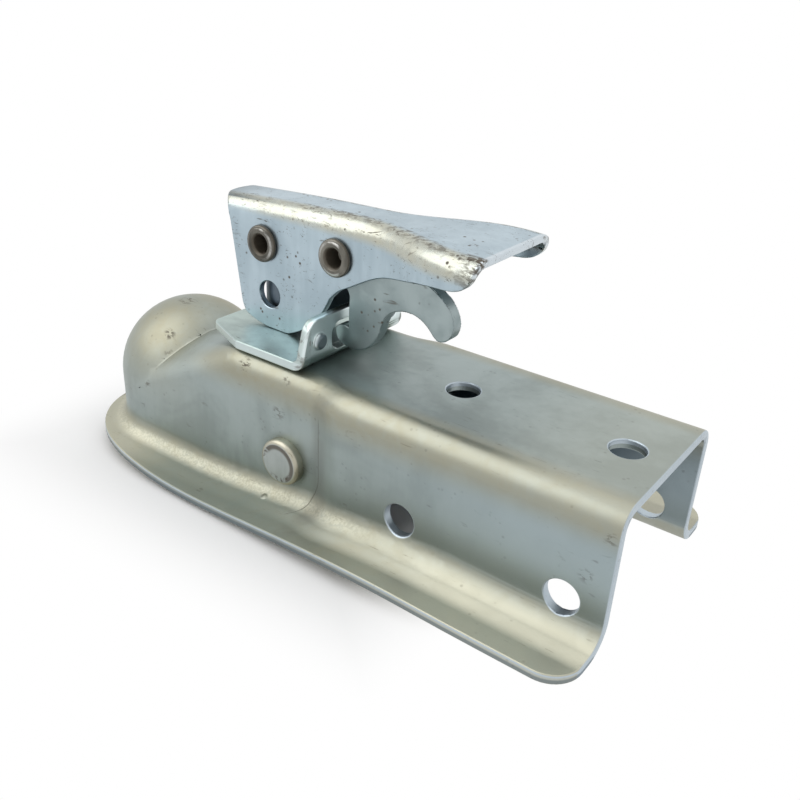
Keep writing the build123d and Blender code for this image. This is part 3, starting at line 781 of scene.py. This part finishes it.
def coilTree(look):
    group = bpy.data.node_groups.new("coilOnPath", "GeometryNodeTree")
    kinds = {float: "NodeSocketFloat", int: "NodeSocketInt", tuple: "NodeSocketVector"}
    group.interface.new_socket("Geometry", in_out="INPUT", socket_type="NodeSocketGeometry")
    for name, value in look.items():
        group.interface.new_socket(name, in_out="INPUT", socket_type=kinds[type(value)])
    group.interface.new_socket("Finish", in_out="INPUT", socket_type="NodeSocketMaterial")
    group.interface.new_socket("Geometry", in_out="OUTPUT", socket_type="NodeSocketGeometry")
    g = Tree(group)
    size = g.node("NodeGroupInput")
    radius, pitch, points = size.out("Coil Radius"), size.out("Pitch"), size.out("Points")
    first, last = size.out("First Leg"), size.out("Last Leg")
    coil = size.out("Turns") * radius * math.tau
    along = g.node("GeometryNodeInputIndex") / (points - 1) * (first + coil + last) - first
    onCoil = along.maths("MINIMUM", along.maths("MAXIMUM", along, 0.0), coil)
    angle = onCoil / radius
    cosine, sine = angle.maths("COSINE", angle, 0.0), angle.maths("SINE", angle, 0.0)
    beyond = along - onCoil  # the legs leave along the coil's own direction
    shape = g.node("ShaderNodeCombineXYZ", None, {
        0: radius * cosine - beyond * sine,
        1: pitch * (angle + beyond / radius) / math.tau,
        2: radius * sine + beyond * cosine,
    })
    there = g.node("ShaderNodeVectorMath", {"operation": "ADD"}, {0: shape, 1: size.out("Centre")})
    line = g.node("GeometryNodeMeshLine", None, {"Count": points})
    bent = g.node("GeometryNodeSetPosition", None, {"Geometry": line, "Position": there})
    path = g.node("GeometryNodeMeshToCurve", None, {"Mesh": bent})
    thick = {"Resolution": size.out("Round"), "Radius": size.out("Wire Radius")}
    ring = g.node("GeometryNodeCurvePrimitiveCircle", None, thick)
    wire = g.node("GeometryNodeCurveToMesh", None, {"Curve": path, "Profile Curve": ring, "Fill Caps": True})
    whole = g.node("GeometryNodeRealizeInstances", None, {"Geometry": wire})
    done = g.node("GeometryNodeSetMaterial", None, {"Geometry": whole, "Material": size.out("Finish")})
    g.node("NodeGroupOutput", None, {"Geometry": done})
    return group


def madeByNodes(name, group, inputs):
    holder = bpy.data.objects.new(name + "Maker", bpy.data.meshes.new(name + "Maker"))
    bpy.context.scene.collection.objects.link(holder)
    modifier = holder.modifiers.new("nodes", "NODES")
    modifier.node_group = group
    for item in group.interface.items_tree:
        if item.in_out == "INPUT" and item.name in inputs:
            modifier[item.identifier] = inputs[item.name]
    holder.update_tag()
    seen = holder.evaluated_get(bpy.context.evaluated_depsgraph_get())
    mesh = bpy.data.meshes.new_from_object(seen)
    mesh.name = name
    mesh.shade_smooth()
    piece = bpy.data.objects.new(name, mesh)
    bpy.context.scene.collection.objects.link(piece)
    bpy.data.objects.remove(holder)
    return piece


wire = smallFinish["springWire"]
spring = madeByNodes("triggerCoil", coilTree(triggerSpring), {**triggerSpring, "Finish": wire})
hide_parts("trigger_spring")
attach(spring, "lever")
print("trigger spring wound:", len(spring.data.polygons), "faces")

# sheared sheet edges are slightly rounded, so that each shows a thin line of light
roundedEdges = {
    "pieces": ("housing", "handle", "saddle_plate", "trigger"),
    "join": 0.002 * mm,
    "flatness": 0.2,  # degrees, under which triangles are one face
    "width": 0.45 * mm,
    "steps": 2,
    "angle": 40,  # degrees, from which an edge is rounded
    "flatWeight": 60,
}


def roundEdges(look):
    for piece in look["pieces"]:
        joined = cadNodes[piece].modifiers.new("joined", "WELD")
        joined.merge_threshold = look["join"]
        flat = cadNodes[piece].modifiers.new("flat", "DECIMATE")
        flat.decimate_type, flat.angle_limit = "DISSOLVE", math.radians(look["flatness"])
        rounded = cadNodes[piece].modifiers.new("rounded", "BEVEL")
        rounded.width, rounded.segments = look["width"], look["steps"]
        rounded.limit_method, rounded.angle_limit = "ANGLE", math.radians(look["angle"])
        rounded.use_clamp_overlap = False
        shaded = cadNodes[piece].modifiers.new("shaded", "WEIGHTED_NORMAL")
        shaded.weight = look["flatWeight"]


roundEdges(roundedEdges)
print("edges rounded")

# floor: it leans as a table does under a part that stands on its bolt's end and its rear corners
floorLook = {
    "rearX": 183 * mm,
    "rearZ": -13.2 * mm,
    "gap": 0.02 * mm,
    "slope": 0.0612,
    "half": 6.0,
    "white": 0.93,
    "near": 0.0,
    "far": 38 * mm,
    "liftedFrom": 105 * mm,
    "liftedTo": 150 * mm,
    "middleX": 75 * mm,
    "halfLong": 108 * mm,
    "halfWide": 44 * mm,
}


def leaningFloor(look):
    lean = math.atan(look["slope"])
    mesh = bpy.data.meshes.new("floorSheet")
    half = look["half"]
    corners = [(-half, -half, 0), (half, -half, 0), (half, half, 0), (-half, half, 0)]
    mesh.from_pydata(corners, [], [(0, 1, 2, 3)])
    rear = (look["rearX"], 0, look["rearZ"] - look["gap"])
    mesh.transform(Matrix.Translation(rear) @ Matrix.Rotation(-lean, 4, "Y"))
    floor = bpy.data.objects.new("floorSheet", mesh)
    bpy.context.scene.collection.objects.link(floor)
    f = Finish("paleFloor")
    x, y = f.place()[1:3]
    alongside, across = abs(x - look["middleX"]) - look["halfLong"], abs(y) - look["halfWide"]
    away = x.maths("MAXIMUM", alongside, across)  # how far outside the part's footprint
    lifted = f.rise(x, look["liftedFrom"], look["liftedTo"])  # painted light: the floor glows white under the open rear end
    clear = x.maths("MAXIMUM", f.rise(away, look["near"], look["far"]), lifted)
    share = f.seenDirectly() * clear
    matt = f.node("ShaderNodeBsdfDiffuse", None, {"Color": (look["white"],) * 3 + (1,)})
    glow = f.node("ShaderNodeEmission", None, {"Color": (1, 1, 1, 1), "Strength": 1.0})
    both = f.node("ShaderNodeMixShader", None, {0: share, 1: matt, 2: glow})
    f.node("ShaderNodeOutputMaterial", None, {"Surface": both})
    mesh.materials.append(f.material)


leaningFloor(floorLook)
print("floor laid")

# soft studio light
studio = {"worldForMatt": 0.96, "target": (75 * mm, 0, 20 * mm)}
lamps = {
    "keyLeft": {"at": (-0.62, -0.62, 0.95), "size": 1.3, "watts": 7.5, "onMatt": False},
    "overhead": {"at": (0.15, 0.25, 1.25), "size": 1.2, "watts": 1.5, "onMatt": True},
}


def softWorld(look):
    world = bpy.data.worlds.new("studioWhite")
    world.use_nodes = True
    f = Finish("studioWhite", world.node_tree)
    level = f.atLeast(look["worldForMatt"], f.seenDirectly())
    glow = f.node("ShaderNodeBackground", None, {"Color": (1, 1, 1, 1), "Strength": level})
    f.node("ShaderNodeOutputWorld", None, {"Surface": glow})
    bpy.context.scene.world = world


def softLamp(name, look):
    lamp = bpy.data.lights.new(name, "AREA")
    lamp.shape, lamp.size, lamp.energy = "SQUARE", look["size"], look["watts"]
    holder = bpy.data.objects.new(name, lamp)
    bpy.context.scene.collection.objects.link(holder)
    at = Vector(look["at"])
    holder.location = at
    holder.visible_diffuse = look["onMatt"]  # the key shows as gloss and casts no hard shadow on the floor
    holder.rotation_euler = (Vector(studio["target"]) - at).to_track_quat("-Z", "Y").to_euler()


softWorld(studio)
for name, look in lamps.items():
    softLamp(name, look)
print("lamps set")

# camera where the photograph was taken
view = {
    "azimuth": 35.39,
    "elevation": 27.39,
    "roll": 2.89,
    "lens": 39.67,
    "sensor": 36.0,
    "clip": (0.01, 50),
    "at": (238.36 * mm, -201.33 * mm, 145.95 * mm),
}


def placeCamera(look):
    a, e, r = (math.radians(look[key]) for key in ("azimuth", "elevation", "roll"))
    back = Vector((math.sin(a) * math.cos(e), -math.cos(a) * math.cos(e), math.sin(e)))
    level = Vector((math.cos(a), math.sin(a), 0))
    upright = back.cross(level)
    right = math.cos(r) * level + math.sin(r) * upright
    up = math.cos(r) * upright - math.sin(r) * level
    lens = bpy.data.cameras.new("photoCamera")
    lens.sensor_width, lens.lens = look["sensor"], look["lens"]
    lens.clip_start, lens.clip_end = look["clip"]
    camera = bpy.data.objects.new("photoCamera", lens)
    bpy.context.scene.collection.objects.link(camera)
    turned = Matrix((right, up, back)).transposed().to_4x4()
    camera.matrix_world = Matrix.Translation(look["at"]) @ turned
    bpy.context.scene.camera = camera


placeCamera(view)
bpy.context.scene.view_settings.view_transform = "Standard"
print("camera set")
